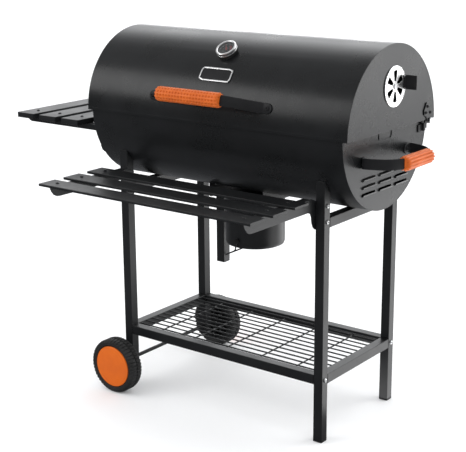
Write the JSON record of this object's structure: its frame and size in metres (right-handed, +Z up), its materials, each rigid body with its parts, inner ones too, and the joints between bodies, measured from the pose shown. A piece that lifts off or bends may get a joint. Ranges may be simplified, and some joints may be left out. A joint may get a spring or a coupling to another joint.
{
  "type": "barrel smoker grill",
  "caption": "Horizontal barrel charcoal smoker on a two-wheel trolley, with hinged lid, vent damper, lid thermometer, slatted shelves, wire shelf and sliding ash pot.",
  "frame": {"origin": "centre of the overall box on the floor", "axes": "+X along the barrel towards the end with the vent, -Y the side the cook stands at, +Z up"},
  "size_m": [1.172, 0.7128, 0.973],
  "materials": {
    "frame_paint": "semi-gloss black powder coat",
    "barrel_paint": "satin charcoal powder coat",
    "zinc_steel": "bright zinc plated",
    "black_steel": "black enamel",
    "grip_orange": "moulded heat-proof plastic",
    "disc_orange": "moulded plastic",
    "black_plastic": "moulded plastic",
    "tread_rubber": "matt moulded tread",
    "grate_iron": "blackened",
    "bright_chrome": "polished",
    "dial_black": "printed dial face",
    "dial_glass": "clear",
    "pointer_red": "painted"
  },
  "bodies": {
    "trolley": {"leg_front_right": "frame_paint", "leg_rear_right": "frame_paint", "leg_front_left": "frame_paint", "leg_rear_left": "frame_paint", "foot_caps": "black_plastic", "upper_rails": "frame_paint", "shelf_rails_long": "frame_paint", "shelf_rails_side": "frame_paint", "shelf_wires": "frame_paint", "frame_bolts": "zinc_steel", "axle": "black_steel", "axle_nuts": "zinc_steel", "axle_spacers": "black_plastic", "body_shell": "barrel_paint", "body_end_right": "barrel_paint", "body_end_left": "barrel_paint", "spit_covers": "barrel_paint", "grate_ledges": "black_steel", "cook_grate_left": "grate_iron", "cook_grate_right": "grate_iron", "charcoal_tray": "grate_iron", "pot_runners": "black_steel", "hanger_post": "frame_paint", "end_strap": "black_steel", "end_grip": "grip_orange", "end_bolts": "black_steel", "front_brackets": "frame_paint", "front_slats": "frame_paint", "front_screws": "frame_paint", "side_brackets": "frame_paint", "side_slats": "frame_paint", "side_screws": "frame_paint", "hinge_brackets": "black_steel", "hinge_pins": "zinc_steel"},
    "lid": {"lid_shell": "barrel_paint", "lid_end_right": "barrel_paint", "lid_end_left": "barrel_paint", "hinge_plates": "barrel_paint", "hinge_bolts": "black_steel", "lid_strap": "black_steel", "lid_grip_bar": "grip_orange", "lid_bolts": "black_steel", "badge_plate": "zinc_steel", "thermo_housing": "black_plastic", "thermo_bezel": "bright_chrome", "thermo_dial": "dial_black", "thermo_glass": "dial_glass", "thermo_stem": "zinc_steel", "damper_rivet": "zinc_steel"},
    "damper": {"damper_disc": "bright_chrome", "damper_tab": "black_plastic"},
    "pointer": {"thermo_pointer": "pointer_red"},
    "wheel_front": {"tyre_front": "tread_rubber", "core_front": "black_plastic", "cap_front": "disc_orange"},
    "wheel_rear": {"tyre_rear": "tread_rubber", "core_rear": "black_plastic", "cap_rear": "disc_orange"},
    "pot": {"ash_pot": "frame_paint"},
    "bail": {"pot_bail": "black_steel"}
  },
  "joints": [
    {"name": "lid_hinge", "type": "hinge", "parent": "trolley", "child": "lid", "pos_m": [0.098, 0.2896, 0.766], "axis": [-1, 0, 0], "range_deg": [0, 70]},
    {"name": "damper_turn", "type": "hinge", "parent": "lid", "child": "damper", "pos_m": [0.499, 0.1136, 0.8715], "axis": [1, 0, 0], "range_deg": [0, 30]},
    {"name": "pointer_turn", "type": "hinge", "parent": "lid", "child": "pointer", "pos_m": [0.098, -0.0138, 0.9451], "axis": [0, 0.5779, -0.8161], "range_deg": [0, 250], "stiffness_Nm_per_rad": 0.002},
    {"name": "wheel_front_spin", "type": "hinge", "parent": "trolley", "child": "wheel_front", "pos_m": [-0.213, -0.1117, 0.075], "axis": [0, 1, 0], "continuous": true},
    {"name": "wheel_rear_spin", "type": "hinge", "parent": "trolley", "child": "wheel_rear", "pos_m": [-0.213, 0.3349, 0.075], "axis": [0, 1, 0], "continuous": true},
    {"name": "pot_slide", "type": "slide", "parent": "trolley", "child": "pot", "axis": [0, -1, 0], "range_m": [0, 0.11]},
    {"name": "bail_swing", "type": "hinge", "parent": "pot", "child": "bail", "pos_m": [0.098, 0.1046, 0.447], "axis": [0, -1, 0], "range_deg": [0, 50]}
  ]
}
